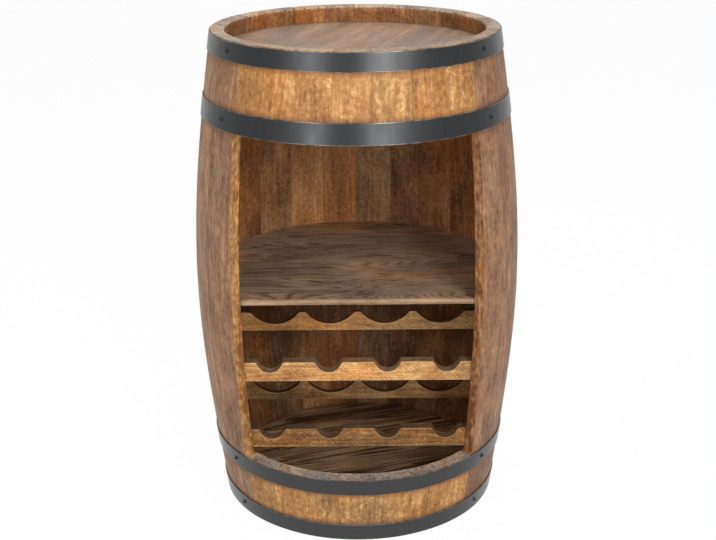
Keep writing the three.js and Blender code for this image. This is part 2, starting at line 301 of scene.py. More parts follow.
# Stained oak, drawn on a plank's own coordinates: across the grain, into the plank, along the grain
def newMaterial(name):
    material = bpy.data.materials.new(name)
    material.use_nodes = True
    material.node_tree.nodes.clear()
    return material, Wire(material.node_tree)


def surface(start, look, colour, roughness, relief, settings):
    values = {"Strength": look["bump"], "Distance": look["reliefDepth"], "Height": relief}
    bump = start.node("ShaderNodeBump", {}, values)
    values = {"Base Color": colour, "Roughness": roughness, "Normal": bump, **settings}
    shader = start.node("ShaderNodeBsdfPrincipled", {}, values)
    start.node("ShaderNodeOutputMaterial", {}, {"Surface": shader})


def plankPlace(start, look):
    # A turned board reads the object's coordinates, and every other plank carries its own
    if "turn" not in look:
        return start.attribute("grain", 1)
    spot = start.node("ShaderNodeTexCoord", {}, {}, 3)
    turned = start.node("ShaderNodeMapping", {}, {"Vector": spot, "Rotation": (0, 0, -look["turn"])})
    along, across, depth = turned.parts()
    # The tone also moves each board to wood of its own
    tone = start.attribute("tone")
    deeper, further = look["boardShift"]
    return start.point(across, depth + tone * deeper, along + tone * further)


def stretched(place, look, layer, *settings):
    # Noise drawn out along the grain; a look gives the layer its stretch and scale, and may move it
    place = place.times((1, 1, look[layer + "Stretch"]))
    if layer + "Shift" in look:
        place = place.plus(look[layer + "Shift"])
    return place.noise(look[layer + "Scale"], *settings)


def oak(name, look):
    material, start = newMaterial(name)
    place = plankPlace(start, look)
    tone = start.attribute("tone")
    warmth = start.attribute("warmth")
    # Growth lines: height lines of a long, slowly changing noise, which open and close as real ones do
    figure = stretched(place, look, "figure", 2.0, 0.4, look["figureWarp"])
    fray = stretched(place, look, "fray", 2.0, 0.6)
    count = figure * look["figureLines"] + fray * look["fray"]
    across, depth, along = place.parts()
    for knot in look["knots"]:
        # The lines run round a knot as round a hill
        aside = (across - knot["across"]) / knot["wide"]
        ahead = (along - knot["along"]) / knot["long"]
        count = count + knot["lines"] / (aside * aside + ahead * ahead + 1)
    early = count.through("FRACT")
    late = early.rise(look["lineStart"], look["lineFull"]) * (1 - early.rise(look["lineEnd"], 1.0))
    # Streaks, fibres, blotches of stain, specks and open pores
    streak = stretched(place, look, "streak", 3.0, 0.6)
    fibre = stretched(place, look, "fibre", 3.0, 0.7)
    blotch = stretched(place, look, "blotch", 3.0, 0.6, 0.3)
    hue = stretched(place, look, "hue", 2.0, 0.6)
    speckle = stretched(place, look, "speckle", 2.0, 0.65)
    pore = stretched(place, look, "pore", 1.0, 0.5).rise(0.58, 0.7)
    shade = (streak - 0.5) * look["streak"] + (blotch - 0.5) * look["blotch"]
    shade = shade + (speckle - 0.5) * look["speckle"] + (fibre - 0.5) * look["fibre"]
    shade = shade - (late - 0.3) * look["figure"] + tone * look["tone"]
    # Darker in patches just beside the hoops, below the top of the highest hoop
    if look["hoopDarkening"]:
        height = start.node("ShaderNodeTexCoord", {}, {}, 3).parts()[2]
        beside = None
        for low, high in hoopBands.values():
            away = abs(height - (low + high) / 2) - (high - low) / 2
            beside = away if beside is None else beside.least(away)
        darkening = (1 - beside.rise(0.0, look["darkeningReach"])) * (speckle * 0.5 + blotch * 0.5).rise(0.36, 0.6)
        shade = shade - darkening * (height < look["darkeningTop"]) * look["hoopDarkening"]
    relief = fibre * 0.5 - late * 0.3 - pore * 0.8 + speckle * 0.3
    if look["scratch"]:
        # Thin lines where a warped noise crosses its middle
        ridge = stretched(place, look, "scratch", 2.0, 0.5, 1.2)
        line = (1 - abs(ridge - 0.5).rise(*look["scratchWidth"])) * hue.rise(0.5, 0.6)
        shade = shade + line * look["scratch"]
        relief = relief + line * 0.6
    if look["chatter"]:
        # Marks that the saw left, slanting across the grain and fading in and out
        beat = (along + across * look["chatterSlant"]) * (2 * math.pi / look["chatterPitch"]) + speckle * 7
        mark = beat.through("SINE") * place.noise(38.0, 2.0).rise(0.4, 0.66)
        shade = shade + mark * look["chatter"]
        relief = relief + mark * 0.25
    deep, mid, pale = (srgb(look[label]) for label in ("deep", "mid", "pale"))
    stops = ((0.0, deep), (0.5, mid), (1.0, pale))
    colour = start.node("ShaderNodeValToRGB", {"stops": stops}, {0: shade + 0.5})
    grey = (hue - 0.5) * look["hue"] - warmth
    colour = grey.rise(0.0, 0.45).mix(colour, colour.times(look["greyTint"]))
    colour = (grey * -1).rise(0.0, 0.45).mix(colour, colour.times(look["warmTint"]))
    colour = (pore * look["pore"]).mix(colour, srgb(look["poreColour"]))
    if "turn" not in look:
        near = 1 - start.attribute("edge").rise(0.0, look["edgeWidth"])
        near = near * (blotch.rise(0.3, 0.6) * 0.6 + 0.4) * look["edge"]
        colour = near.mix(colour, srgb(look["edgeColour"]))
    rough = (streak * 0.3 + speckle * 0.2 + look["rough"] - 0.25).least(0.95)
    surface(start, look, colour, rough, relief, {"Specular IOR Level": look["shine"]})
    return material


def srgb(colour):
    # Linear values from red, green and blue as they are given in the looks, up to 255
    parts = [value / 255 for value in colour]
    return tuple(v / 12.92 if v <= 0.04045 else ((v + 0.055) / 1.055) ** 2.4 for v in parts)


hoopBands = {  # the lower and upper edge of each hoop
    "top": (0.7695, 0.7985),
    "upper": (0.6645, 0.6975),
    "lower": (0.089, 0.117),
    "bottom": (0.0015, 0.0305),
}
grainSet = {
    "figureStretch": 0.07,
    "figureScale": 20.0,
    "figureWarp": 0.3,
    "figureLines": 16.0,
    "lineStart": 0.15,
    "lineFull": 0.8,
    "lineEnd": 0.86,
    "figure": 0.22,
    "frayScale": 240.0,
    "frayStretch": 0.05,
    "fray": 0.9,
    "knots": (),
    "boardShift": (0.9, 3.1),
    "streakScale": 95.0,
    "streakStretch": 0.05,
    "streak": 1.0,
    "fibreScale": 480.0,
    "fibreStretch": 0.03,
    "fibre": 0.4,
    "blotchScale": 24.0,
    "blotchStretch": 0.55,
    "blotch": 1.3,
    "hueScale": 15.0,
    "hueStretch": 0.4,
    "hueShift": (3.1, 1.7, 5.3),
    "hue": 2.2,
    "speckleScale": 190.0,
    "speckleStretch": 0.5,
    "speckle": 1.1,
    "tone": 1.0,
    "hoopDarkening": 0.0,
    "darkeningReach": 0.01,
    "darkeningTop": 0.79,
    "scratch": 0.0,
    "scratchScale": 34.0,
    "scratchStretch": 0.8,
    "scratchShift": (7.7, 2.9, 0.4),
    "scratchWidth": (0.004, 0.014),
    "poreScale": 760.0,
    "poreStretch": 0.08,
    "pore": 0.4,
    "chatter": 0.0,
    "chatterSlant": 0.6,
    "chatterPitch": 0.004,
    "greyTint": (0.78, 0.9, 1.05),
    "warmTint": (1.14, 0.98, 0.76),
    "edge": 0.55,
    "edgeWidth": 0.0016,
    "bump": 0.4,
    "reliefDepth": 0.0006,
    "rough": 0.55,
    "shine": 0.18,
}
oakOutside = oak("oakOutside", {
    **grainSet,
    "figure": 0.18,
    "streak": 0.48,
    "hue": 1.2,
    "hoopDarkening": 0.5,
    "deep": (93, 62, 42),
    "mid": (144, 106, 77),
    "pale": (186, 145, 108),
    "poreColour": (76, 52, 38),
    "edgeColour": (70, 46, 32),
})
oakFront = oak("oakFront", {
    **grainSet,
    "figure": 0.14,
    "streakStretch": 0.14,
    "streak": 0.7,
    "fibre": 0.3,
    "blotch": 1.1,
    "speckleScale": 150.0,
    "speckleStretch": 0.9,
    "speckle": 1.2,
    "hue": 1.4,
    "edge": 0.12,
    "hoopDarkening": 0.5,
    "scratch": 0.4,
    "deep": (112, 70, 38),
    "mid": (161, 115, 69),
    "pale": (209, 165, 105),
    "poreColour": (110, 70, 38),
    "edgeColour": (104, 64, 36),
})
oakInside = oak("oakInside", {
    **grainSet,
    "figure": 0.14,
    "streakStretch": 0.12,
    "streak": 0.4,
    "fibre": 0.2,
    "blotch": 1.3,
    "blotchScale": 17.0,
    "hue": 1.5,
    "speckleStretch": 0.85,
    "speckle": 1.1,
    "warmTint": (1.16, 0.98, 0.76),
    "greyTint": (0.76, 0.92, 1.12),
    "edge": 0.4,
    "deep": (88, 56, 33),
    "mid": (145, 98, 60),
    "pale": (193, 141, 91),
    "poreColour": (64, 40, 26),
    "edgeColour": (52, 32, 20),
})
jambLook = {
    **grainSet,
    "figure": 0.14,
    "streak": 0.6,
    "blotch": 2.0,
    "blotchScale": 60.0,
    "speckleScale": 120.0,
    "speckleStretch": 0.8,
    "speckle": 2.6,
    "poreColour": (122, 76, 42),
    "edgeColour": (132, 88, 54),
    "edge": 0.35,
}
# Two copies of one jamb look: the left one paler, as painted light, and the right one darker and redder, as
# painted shade, since the key lamp stands on the right
oakJambLeftLit = oak("oakJambLeftLit", {
    **jambLook,
    "deep": (132, 83, 45),
    "mid": (187, 135, 81),
    "pale": (229, 183, 118),
})
oakJambRightShaded = oak("oakJambRightShaded", {
    **jambLook,
    "deep": (112, 70, 46),
    "mid": (174, 120, 80),
    "pale": (222, 168, 116),
})
oakRim = oak("oakRim", {
    **grainSet,
    "streak": 0.6,
    "blotch": 1.2,
    "speckle": 1.4,
    "deep": (108, 86, 72),
    "mid": (164, 143, 125),
    "pale": (206, 188, 168),
    "poreColour": (96, 72, 54),
    "edgeColour": (104, 76, 56),
    "edge": 0.3,
})
print("oak made")

# Staves
staveSet = {
    "Joint Gap": 0.00002,
    "Chime Bevel": 0.003,
    "Waviness": 0.0004,
    # painted shade on the inside of the staves below the shelf
    "Lower Tone": -0.15,
    "Jamb Low": openingLow,
    "Jamb High": openingHigh,
    "Jamb Turn": jambTurn,
    "Jamb Reach": barrel["Belly Radius"] * math.sin(math.radians(46.7) - jambTurn),
    "edge": {"width": 0.0007, "segments": 2, "angle": 50},
    "columns": 9,
    "rows": {"full": 81, "upper": 19, "lower": 17},
    "firstSeed": {"full": 1, "upper": 31, "lower": 51},
    "seedStep": 1.37,
    "seedShift": (0.37, 0.23),  # across the plank and into it
    "jambStep": 0.0001,
    "rimFoot": 0.765,
    "shelfFoot": 0.385,
    "lowerRailTop": (0.16, 0.2),
    "ripple": {"around": 1.2, "up": 3, "scale": 4.0},
    "fullShares": [
        1.06, 0.97, 1.02, 0.98, 0.96, 1.03, 0.99, 0.97, 1.04,
        0.97, 1.02, 1.08, 0.98, 1.01, 0.96, 1.0, 0.96, 1.01,
    ],
    "cutShares": [0.97, 0.97, 0.96, 1.03, 1.02, 1.02, 1.03],
}


def outerField(z, sizes):
    reach = abs(z * 2 / sizes["Height"] - 1)
    slant = reach / sizes["Bend Share"]
    most = 1 / sizes["Bend Share"]
    bend = ((slant * slant + 1).root() - 1) / ((most * most + 1).root() - 1)
    return sizes["Belly Radius"] - (sizes["Belly Radius"] - sizes["Chime Radius"]) * bend


def onBarrel(wire, azimuth, radius, z, sizes):
    across = azimuth.through("SINE") * radius
    back = sizes["Axis Y"] - azimuth.through("COSINE") * radius
    return wire.point(across, back, z)


def grid(start, columns, layers, rows):
    # A unit block whose faces are divided, for a tree to bend into shape
    values = {"Size": (1, 1, 1), "Vertices X": columns, "Vertices Y": layers, "Vertices Z": rows}
    return start.node("GeometryNodeMeshCube", {}, values)


def makeStaveTree():
    numbers = [
        *barrel, "Low", "High", "From", "To", "Joint Gap", "Chime Bevel", "Waviness", "Bevel Low",
        "Bevel High", "Tone", "Inside Tone", "Warmth", "Inside Warmth", "Lower Tone", "Seed",
        "Right Jamb", "Left Jamb", "Jamb Low", "Jamb High", "Jamb Turn", "Jamb Reach", "Row Pitch",
    ]
    faces = ("Outside", "Inside", "Joint Face", "End")
    kinds = {"Rows": "NodeSocketInt", **dict.fromkeys(faces, "NodeSocketMaterial")}
    tree, sizes = shapeTree("staveShape", numbers, kinds)
    start = sizes["Low"]
    body = grid(start, staveSet["columns"], 3, sizes["Rows"])
    sideways, inward, upward = start.node("GeometryNodeInputNormal").parts()
    side = (inward > 0.5) * 1 + (abs(sideways) > 0.5) * 2 + (abs(upward) > 0.5) * 3
    body = store(body, "side", "FLOAT", side, "FACE")
    u, v, w = start.node("GeometryNodeInputPosition").parts()
    drop = (v > 0.4) * (w > 0.499) * sizes["Bevel High"] - (v > 0.4) * (w < -0.499) * sizes["Bevel Low"]
    z = sizes["Low"] + (w + 0.5) * (sizes["High"] - sizes["Low"]) - drop
    jambed = sizes["Right Jamb"] + sizes["Left Jamb"]
    for cut in (sizes["Jamb Low"], sizes["Jamb High"]):
        # The rows just under and just over the end of a jamb move up to it
        away = z - cut
        step = away.through("SIGN") * staveSet["jambStep"]
        z = z + (abs(away) < sizes["Row Pitch"]) * jambed * (step - away)
    beside = (z > sizes["Jamb Low"]) * (z < sizes["Jamb High"])
    middleRow = 1 - abs(v) * 2
    depth = sizes["Thickness"] * (v + 0.5) + middleRow * (sizes["Thickness"] / 2 - sizes["Chime Bevel"])
    radius = outerField(z, sizes) - depth
    sine = sizes["Jamb Reach"] / radius
    jamb = sine.through("ARCSINE") + sizes["Jamb Turn"]
    fromEdge = sizes["From"] + sizes["Joint Gap"] / radius / 2
    toEdge = sizes["To"] - sizes["Joint Gap"] / radius / 2
    fromEdge = fromEdge + beside * sizes["Right Jamb"] * (jamb - fromEdge)
    toEdge = toEdge + beside * sizes["Left Jamb"] * (2 * math.pi - jamb - toEdge)
    azimuth = fromEdge + (u + 0.5) * (toEdge - fromEdge)
    width = (sizes["To"] - sizes["From"]) * radius
    aside, deeper = (sizes["Seed"] * share for share in staveSet["seedShift"])
    plank = start.point(u * width + aside, depth + deeper, z + sizes["Seed"])
    edge = (0.5 - abs(u)) * width
    # Inside the rim, above the top, a stave keeps its outside tone. Below the shelf its inside is darker,
    # most of all above the lower rails: painted shade of the shelf and the rails.
    within = (v + 0.5) * (z < staveSet["rimFoot"])
    aboveRails = z.rise(*staveSet["lowerRailTop"])
    lower = (v + 0.5) * (z < staveSet["shelfFoot"]) * (aboveRails + 1) * sizes["Lower Tone"]
    tone = sizes["Tone"] + within * (sizes["Inside Tone"] - sizes["Tone"]) + lower
    warmth = sizes["Warmth"] + within * (sizes["Inside Warmth"] - sizes["Warmth"])
    body = storeAll(body, plank, edge=edge, tone=tone, warmth=warmth)
    wave = staveSet["ripple"]
    ripple = start.point(azimuth * wave["around"], depth, z * wave["up"] + sizes["Seed"])
    ripple = ripple.noise(wave["scale"], 2.0)
    spot = onBarrel(start, azimuth, radius + (ripple - 0.5) * sizes["Waviness"] * 2, z, sizes)
    body = body.shaped("GeometryNodeSetPosition", Position=spot)
    endPainted(body, [sizes[label] for label in faces])
    return tree


staveTree = makeStaveTree()


def spansOf(low, high, shares):
    edges = [low]
    for share in shares:
        edges.append(edges[-1] + (high - low) * share / sum(shares))
    return list(zip(edges, edges[1:]))


def makeStave(name, span, low, high, kind, index, tones, outside, slot, node, side=""):
    # The tones are the lightness outside and inside, and how warm the outside and the inside are
    rows = staveSet["rows"][kind]
    values = {**barrel, **staveSet, "Low": low, "High": high, "Rows": rows}
    values["From"], values["To"] = span
    values["Bevel Low"] = staveSet["Chime Bevel"] if low == 0 else 0.0
    values["Bevel High"] = staveSet["Chime Bevel"] if high == barrel["Height"] else 0.0
    values.update(zip(("Tone", "Inside Tone", "Warmth", "Inside Warmth"), tones))
    values["Seed"] = (index + staveSet["firstSeed"][kind]) * staveSet["seedStep"]
    values.update({"Right Jamb": float(side == "right"), "Left Jamb": float(side == "left")})
    values["Row Pitch"] = (high - low) / (rows - 1)
    jointFace = oakJambRightShaded if side == "right" else oakJambLeftLit
    values.update({"Outside": outside, "Inside": oakInside, "Joint Face": jointFace, "End": oakRim})
    piece = grow(name, staveTree, values, bevel=staveSet["edge"])
    return settle(piece, slot, node)


fullSpans = spansOf(openingHalfAngle, 2 * math.pi - openingHalfAngle, staveSet["fullShares"])
cutSpans = spansOf(-openingHalfAngle, openingHalfAngle, staveSet["cutShares"])
fullTones = [
    (-0.12, -0.2, 0.0, 0.0), (-0.16, -0.2, 0.0, 0.1), (0.0, -0.1, 0.0, 0.0), (-0.1, -0.1, -0.1, -0.1),
    (0.05, -0.2, 0.1, 0.1), (-0.03, -0.2, 0.0, 0.1), (0.1, -0.07, -0.1, 0.12), (-0.08, -0.18, 0.1, -0.1),
    (0.04, 0.12, 0.0, -0.4), (0.0, 0.0, -0.1, 0.25), (0.07, 0.1, 0.1, 0.12), (-0.06, -0.1, 0.0, -0.25),
    (0.02, -0.1, 0.1, 0.15), (-0.1, -0.1, 0.0, 0.0), (0.06, -0.1, -0.1, 0.1), (-0.04, -0.2, 0.1, 0.0),
    (0.09, -0.1, 0.0, 0.1), (0.0, -0.2, -0.1, 0.0),
]
jambSides = {0: "right", len(fullSpans) - 1: "left"}
for index, span in enumerate(fullSpans):
    label = f"{index + 1:02d}"
    makeStave(
        f"stave{label}", span, 0, barrel["Height"], "full", index, fullTones[index],
        oakOutside, "stave_side", f"stave_full_{label}", jambSides.get(index, ""),
    )
# Lightness and warmth of the short staves, what each band adds to them, and what it has inside
cutTones = [
    (-0.02, 0.0), (0.02, 0.05), (0.01, 0.07), (-0.02, 0.0), (0.02, 0.02), (-0.04, 0.05), (-0.02, 0.05),
]
cutBands = {
    "upper": {"ends": (openingHigh, barrel["Height"]), "tone": 0.0, "warmth": 0.0, "inside": (-0.1, 0.1)},
    "lower": {"ends": (0, openingLow), "tone": -0.03, "warmth": -0.15, "inside": (0.45, -0.1)},
}
for index, span in enumerate(cutSpans):
    lightness, warm = cutTones[index]
    for kind, band in cutBands.items():
        insideTone, insideWarmth = band["inside"]
        tones = (lightness + band["tone"], insideTone, warm + band["warmth"], insideWarmth)
        makeStave(
            f"shortStave{kind.capitalize()}{index + 1}", span, *band["ends"], kind, index, tones,
            oakFront, "stave_front", f"stave_short_{kind}_{index + 1}",
        )
print("staves made")

# Satin black steel, paler along its edges: worn paint, and a painted glint
hoopLook = {
    "paint": (56, 57, 58),
    "dusty": (70, 70, 70),
    "worn": (176, 172, 166),
    "darkest": 0.72,
    "metal": 0.9,
    "rough": 0.3,
    "bump": 0.12,
    "reliefDepth": 0.0004,
}


def blackSteel(name, look):
    material, start = newMaterial(name)
    place = start.attribute("grain", 1)
    edge = start.attribute("edge")
    cloud = place.times((1, 1, 3)).noise(22.0, 3.0)
    rolled = place.times((0.15, 1, 9)).noise(60.0, 3.0, 0.6)
    speck = place.noise(900.0, 2.0)
    # Pale along both edges: worn paint and a painted glint
    wearAndGlint = (1 - edge.rise(0.0002, 0.0016)) * cloud.rise(0.3, 0.75)
    paint = srgb(look["paint"])
    darkPaint = [c * look["darkest"] for c in paint]
    colour = (cloud * 0.5 + rolled * 0.3).rise(0.2, 0.7).mix(paint, darkPaint)
    # The tone turns the paint a lighter grey on the lower hoops: painted reflection of the pale floor
    colour = start.attribute("tone").mix(colour, srgb(look["dusty"]))
    colour = (wearAndGlint * 0.5).mix(colour, srgb(look["worn"]))
    relief = rolled * 0.6 + speck * 0.2
    rough = (cloud * 0.2 + rolled * 0.12 + look["rough"] - 0.14).least(0.9)
    surface(start, look, colour, rough, relief, {"Metallic": look["metal"]})
    return material


steelHoop = blackSteel("steelHoop", hoopLook)
steelScrew = blackSteel("steelScrew", {**hoopLook, "paint": (36, 36, 38), "rough": 0.2})

# Hoops: each is one strip whose end laps over its start and is riveted
hoopSet = {
    "Gap": seatGap,
    "Steel": 0.0015,
    "Lap Azimuth": math.radians(150),
    "Lap Length": 0.046,
    "edge": {"width": 0.0004, "segments": 2, "angle": 50},
    # painted reflection of the floor: the two lower hoops get a lighter grey
    "dust": {"top": 0.0, "upper": 0.0, "lower": 1.0, "bottom": 1.0},
    "columns": 289,
    "rows": 5,
    "lapRise": 0.09,  # the turn over which the end climbs on the start
    "waver": 0.0012,
    "seedStep": 2.7,
}


def makeHoopTree():
    numbers = [*barrel, "Low", "High", "Gap", "Steel", "Lap Azimuth", "Lap Length", "Tone", "Seed"]
    tree, sizes = shapeTree("hoopShape", numbers, {"Material": "NodeSocketMaterial"})
    start = sizes["Low"]
    body = grid(start, hoopSet["columns"], 2, hoopSet["rows"])
    u, v, w = start.node("GeometryNodeInputPosition").parts()
    low = outerField(sizes["Low"], sizes)
    high = outerField(sizes["High"], sizes)
    middle = (low + high) / 2
    lap = sizes["Lap Length"] / middle
    travel = (u + 0.5) * (lap + 2 * math.pi)
    lift = travel.rise(2 * math.pi - hoopSet["lapRise"], 2 * math.pi) * sizes["Steel"]
    azimuth = sizes["Lap Azimuth"] - lap / 2 + travel
    waver = start.point(azimuth.through("SINE"), azimuth.through("COSINE"), sizes["Seed"])
    waver = (waver.noise(3.0, 2.0) - 0.5) * hoopSet["waver"]
    z = sizes["Low"] + (w + 0.5) * (sizes["High"] - sizes["Low"]) + waver
    radius = low + (w + 0.5) * (high - low) + sizes["Gap"] + lift + sizes["Steel"] * (0.5 - v)
    rolling = start.point(z, v * hoopSet["Steel"], azimuth * middle + sizes["Seed"])
    edge = (0.5 - abs(w)) * (sizes["High"] - sizes["Low"])
    body = storeAll(body, rolling, edge=edge, tone=sizes["Tone"])
    spot = onBarrel(start, azimuth, radius, z, sizes)
    body = body.shaped("GeometryNodeSetPosition", Position=spot)
    body = body.shaped("GeometryNodeSetShadeSmooth").shaped("GeometryNodeRealizeInstances")
    endTree(body.shaped("GeometryNodeSetMaterial", Material=sizes["Material"]))
    return tree


hoopTree = makeHoopTree()
for number, (level, (low, high)) in enumerate(hoopBands.items()):
    values = {**barrel, **hoopSet, "Low": low, "High": high, "Seed": number * hoopSet["seedStep"]}
    values.update({"Tone": hoopSet["dust"][level], "Material": steelHoop})
    hoop = grow(f"hoop{level.capitalize()}", hoopTree, values, bevel=hoopSet["edge"])
    settle(hoop, "hoop", f"hoop_{level}")
print("hoops made")

# Rivets at the laps, and screws beside the opening and at the back
studSet = {
    "rivet": {"Radius": 0.004, "Rise": 0.0018, "Recess": 0.0, "Sunk": 0.0006},
    "screw": {"Radius": 0.0034, "Rise": 0.0026, "Recess": 0.0009, "Sunk": 0.0004},
    "rivetSpacing": 0.022,
    "segments": 40,
    "rings": 24,
    "roundness": 0.8,
    "cross": {"halfWidth": 0.15, "reach": 0.56, "foot": 0.3},  # shares of the radius
    "grain": 0.004,
    "slotEdge": 0.01,
    "Spin": 6.0,
    "seed": 11,
}


def makeStudTree():
    tree, sizes = shapeTree(
        "studs", ["Radius", "Rise", "Recess", "Sunk", "Spin"], {"Material": "NodeSocketMaterial"}, True
    )
    start = sizes["Radius"]
    ballSizes = {"Segments": studSet["segments"], "Rings": studSet["rings"], "Radius": 1.0}
    ball = start.node("GeometryNodeMeshUVSphere", {}, ballSizes)
    x, y, z = start.node("GeometryNodeInputPosition").parts()
    cross = studSet["cross"]
    upright = (abs(x) < cross["halfWidth"]) * (abs(y) < cross["reach"])
    level = (abs(y) < cross["halfWidth"]) * (abs(x) < cross["reach"])
    slot = upright.most(level) * (z > cross["foot"])
    crown = z.most(0.0) ** studSet["roundness"] * sizes["Rise"] - slot * sizes["Recess"]
    tall = (z > 0.0) * crown - (z < 0.0) * abs(z) * sizes["Sunk"]
    spot = start.point(x * sizes["Radius"], y * sizes["Radius"], tall)
    grain = studSet["grain"]
    edge = slot * studSet["slotEdge"] + abs(z) * grain
    ball = storeAll(ball, start.point(x * grain, y * grain, z * grain), edge=edge)
    ball = ball.shaped("GeometryNodeSetPosition", Position=spot).shaped("GeometryNodeSetShadeSmooth")
    settings = {"data_type": "FLOAT_VECTOR"}
    facing = start.node("GeometryNodeInputNamedAttribute", settings, {"Name": "facing"})
    lean = start.node("FunctionNodeAlignRotationToVector", {"axis": "Z"}, {"Vector": facing})
    values = {2: 0.0, 3: sizes["Spin"], 8: studSet["seed"]}
    twist = start.node("FunctionNodeRandomValue", {"data_type": "FLOAT"}, values, 1)
    spin = start.node("FunctionNodeAxisAngleToRotation", {}, {"Axis": (0, 0, 1), "Angle": twist})
    lean = start.node("FunctionNodeRotateRotation", {"rotation_space": "LOCAL"}, {0: lean, 1: spin})
    values = {"Points": sizes["Geometry"], "Instance": ball, "Rotation": lean}
    body = start.node("GeometryNodeInstanceOnPoints", {}, values).shaped("GeometryNodeRealizeInstances")
    endTree(body.shaped("GeometryNodeSetMaterial", Material=sizes["Material"]))
    return tree


def studPoints(name, places):
    # Points on the hoops, each with the direction that its head faces
    mesh = bpy.data.meshes.new(name)
    spots = []
    facing = []
    for band, azimuth, lift in places:
        low, high = hoopBands[band]
        radius = (outerRadius(low) + outerRadius(high)) / 2 + seatGap + hoopSet["Steel"] + lift
        out = Vector((math.sin(azimuth), -math.cos(azimuth), 0))
        lean = (high - low) * out - Vector((0, 0, outerRadius(high) - outerRadius(low)))
        spots.append(out * radius + Vector((0, axisY, (low + high) / 2)))
        facing.append(lean.normalized())
    mesh.from_pydata(spots, [], [])
    mesh.attributes.new("facing", "FLOAT_VECTOR", "POINT").data.foreach_set(
        "vector", [v for row in facing for v in row]
    )
    return mesh


studTree = makeStudTree()
rivetPlaces = []
screwPlaces = []
screwSpans = {"left": fullSpans[-1], "right": fullSpans[0], "back": fullSpans[len(fullSpans) // 2 - 1]}
for level, (low, high) in hoopBands.items():
    half = studSet["rivetSpacing"] / 2 / outerRadius((low + high) / 2)
    for side in (-half, half):
        rivetPlaces.append((level, hoopSet["Lap Azimuth"] + side, hoopSet["Steel"]))
    for span in screwSpans.values():
        screwPlaces.append((level, sum(span) / 2, 0.0))
values = {**studSet, **studSet["rivet"], "Material": steelHoop}
rivets = grow("hoopRivets", studTree, values, studPoints("rivetSpots", rivetPlaces))
settle(rivets, "hoop")
values = {**studSet, **studSet["screw"], "Material": steelScrew}
screws = grow("hoopScrews", studTree, values, studPoints("screwSpots", screwPlaces))
settle(screws, "screw", *[f"screw_{level}_{side}" for level in hoopBands for side in screwSpans])
print("rivets and screws made")


# Boards cut from an outline: the two round ends, the shelf and its cleats
def boardMesh(name, outlines, low, high, materials, rounding, tones=(0,)):
    # Each outline is a closed loop of (x, y). The faces get a material for the top, the side and the foot.
    mesh = bpy.data.meshes.new(name)
    shape = bmesh.new()
    tone = shape.faces.layers.float.new("tone")
    for index, outline in enumerate(outlines):
        foot = [shape.verts.new((x, y, low)) for x, y in outline]
        head = [shape.verts.new((x, y, high)) for x, y in outline]
        made = [shape.faces.new(head), shape.faces.new(foot[::-1])]
        made[0].material_index = 0
        made[1].material_index = 2
        for i in range(len(outline)):
            j = (i + 1) % len(outline)
            face = shape.faces.new((foot[i], foot[j], head[j], head[i]))
            face.material_index = 1
            made.append(face)
        for face in made:
            face[tone] = tones[index % len(tones)]
    rims = [edge for edge in shape.edges if edge.calc_face_angle(0) > math.radians(30)]
    bmesh.ops.bevel(shape, geom=rims, offset=rounding, segments=2, affect="EDGES", profile=0.5)
    for face in shape.faces:
        face.smooth = len(face.verts) < 5
    shape.to_mesh(mesh)
    shape.free()
    for material in materials:
        mesh.materials.append(material)
    return newObject(name, mesh)


def arcPoints(radius, start, end, count):
    # Points round the barrel's axis from one azimuth to another
    turns = [start + (end - start) * i / (count - 1) for i in range(count)]
    return [(math.sin(a) * radius, axisY - math.cos(a) * radius) for a in turns]


def roundBoards(radius, turn, seams):
    # A disc cut along straight seams into boards, which run along a direction turned from +X
    gap = headSet["gap"]
    c, s = math.cos(turn), math.sin(turn)
    outlines = []
    edges = [-radius, *seams, radius]
    for left, right in zip(edges, edges[1:]):
        lowV = left + (gap / 2 if left > -radius else 0)
        highV = right - (gap / 2 if right < radius else 0)
        lowTurn = math.asin(max(-1, lowV / radius))
        highTurn = math.asin(min(1, highV / radius))
        steps = max(headSet["fewestSteps"], int((highTurn - lowTurn) / headSet["stepTurn"]))
        turns = [lowTurn + (highTurn - lowTurn) * i / steps for i in range(steps + 1)]
        loop = [(math.cos(a), math.sin(a)) for a in turns]
        loop += [(-x, y) for x, y in reversed(loop)]
        clean = [p for i, p in enumerate(loop) if math.dist(p, loop[i - 1]) > headSet["samePoint"]]
        outlines.append([((x * c - y * s) * radius, (x * s + y * c) * radius + axisY) for x, y in clean])
    return outlines


headSet = {
    "topTurn": math.radians(73),
    "floorTurn": math.radians(14),
    "topSeams": (-0.14, -0.055, 0.04, 0.13),
    "floorSeams": (-0.13, -0.045, 0.05, 0.135),
    "topTones": (0.05, -0.05, 0.08, 0.0, -0.08),
    "floorTones": (0.1, -0.1, 0.2, 0.0, -0.2),
    "clearance": 0.0004,
    "gap": 0.0002,
    "rounding": 0.0006,
    "stepTurn": 0.045,
    "fewestSteps": 6,
    "samePoint": 1e-5,
}
boardGrain = {
    **grainSet,
    "speckle": 0.5,
    "hue": 1.6,
    "blotch": 1.1,
    "edge": 0.0,
}
oakTop = oak("oakTop", {
    **boardGrain,
    "turn": headSet["topTurn"],
    "streakScale": 60.0,
    "streak": 1.1,
    "blotch": 0.7,
    "figure": 0.1,
    "deep": (112, 88, 72),
    "mid": (148, 120, 99),
    "pale": (182, 156, 134),
    "poreColour": (96, 74, 60),
})
oakDark = oak("oakDark", {
    **boardGrain,
    "turn": headSet["floorTurn"],
    "figureScale": 13.0,
    "figureLines": 25.0,
    "figure": 0.8,
    "fray": 0.5,
    "deep": (78, 58, 41),
    "mid": (160, 125, 92),
    "pale": (210, 172, 130),
    "poreColour": (40, 28, 20),
})
